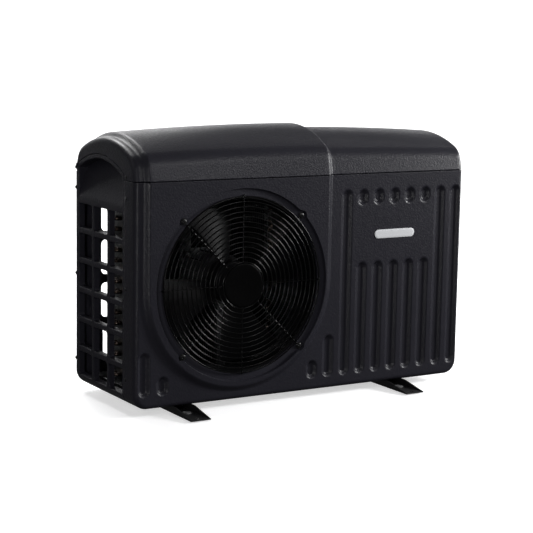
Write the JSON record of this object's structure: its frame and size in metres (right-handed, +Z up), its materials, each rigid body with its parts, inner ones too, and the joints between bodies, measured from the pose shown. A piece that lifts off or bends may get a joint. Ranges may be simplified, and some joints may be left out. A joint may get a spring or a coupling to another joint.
{
  "type": "pool heat pump",
  "caption": "Horizontal air-source pool heat pump: moulded charcoal case with an arched cover, front fan behind a round wire guard, grooved front, grille side with hand scoop, black rails.",
  "frame": {"origin": "on the ground under the middle of the case", "axes": "+X along the case's length towards the compressor side, +Y from the fan's face to the rear, +Z up"},
  "size_m": [0.9334, 0.506, 0.666],
  "materials": {
    "abs_charcoal": "satin charcoal moulded plastic",
    "pan_steel": "galvanised sheet",
    "rail_black": "black powder coat",
    "rubber": "matt",
    "zinc_steel": "zinc plated",
    "screw_black": "black oxide",
    "guard_black": "glossy black coating",
    "fan_plastic": "black moulded plastic",
    "motor_paint": "black paint",
    "motor_iron": "machined",
    "fin_aluminium": "hydrophilic coated fins",
    "copper": "copper tube",
    "valve_brass": "brass",
    "vessel_plastic": "moulded water fittings",
    "titanium": "titanium tube",
    "board_green": "circuit board",
    "terminal_cream": "moulded",
    "gland_grey": "nylon",
    "badge_light": "blank plate"
  },
  "bodies": {
    "casing": {"front_panel": "abs_charcoal", "rear_panel": "abs_charcoal", "top_cover": "abs_charcoal", "left_panel": "abs_charcoal", "right_panel": "abs_charcoal", "base_pan": "pan_steel", "electrical_box": "pan_steel", "electrical_box_lid": "pan_steel", "divider": "pan_steel", "motor_bracket": "pan_steel", "evaporator_end_plates": "pan_steel", "left_foot_rail": "rail_black", "right_foot_rail": "rail_black", "rail_pads": "rubber", "compressor_grommets": "rubber", "union_seals": "rubber", "rail_bolts": "zinc_steel", "motor_bolts": "zinc_steel", "compressor_bolts": "zinc_steel", "exchanger_straps": "zinc_steel", "panel_screws": "screw_black", "cover_screws": "screw_black", "guard_screws": "screw_black", "guard_rings": "guard_black", "guard_spokes": "guard_black", "guard_cap": "guard_black", "fan_shroud": "fan_plastic", "fan_motor": "motor_paint", "compressor": "motor_paint", "accumulator": "motor_paint", "compressor_core": "motor_iron", "evaporator_fins": "fin_aluminium", "evaporator_tubes": "copper", "refrigerant_pipes": "copper", "four_way_valve": "valve_brass", "expansion_valve": "valve_brass", "exchanger_shell": "vessel_plastic", "inlet_tail": "vessel_plastic", "outlet_tail": "vessel_plastic", "titanium_coil": "titanium", "control_board": "board_green", "terminal_block": "terminal_cream", "run_capacitor": "terminal_cream", "cable_gland": "gland_grey", "drain_nozzle": "gland_grey", "badge": "badge_light"},
    "fan": {"fan_rotor": "fan_plastic", "fan_nut": "zinc_steel", "motor_shaft": "zinc_steel"},
    "inlet_nut": {"inlet_union_nut": "vessel_plastic"},
    "outlet_nut": {"outlet_union_nut": "vessel_plastic"}
  },
  "joints": [
    {"name": "fan_spin", "type": "hinge", "parent": "casing", "child": "fan", "pos_m": [-0.184, 0, 0.297], "axis": [0, 1, 0], "continuous": true},
    {"name": "inlet_nut_turn", "type": "hinge", "parent": "casing", "child": "inlet_nut", "pos_m": [0.37, 0, 0.13], "axis": [0, 1, 0], "continuous": true},
    {"name": "outlet_nut_turn", "type": "hinge", "parent": "casing", "child": "outlet_nut", "pos_m": [0.37, 0, 0.41], "axis": [0, 1, 0], "continuous": true}
  ]
}
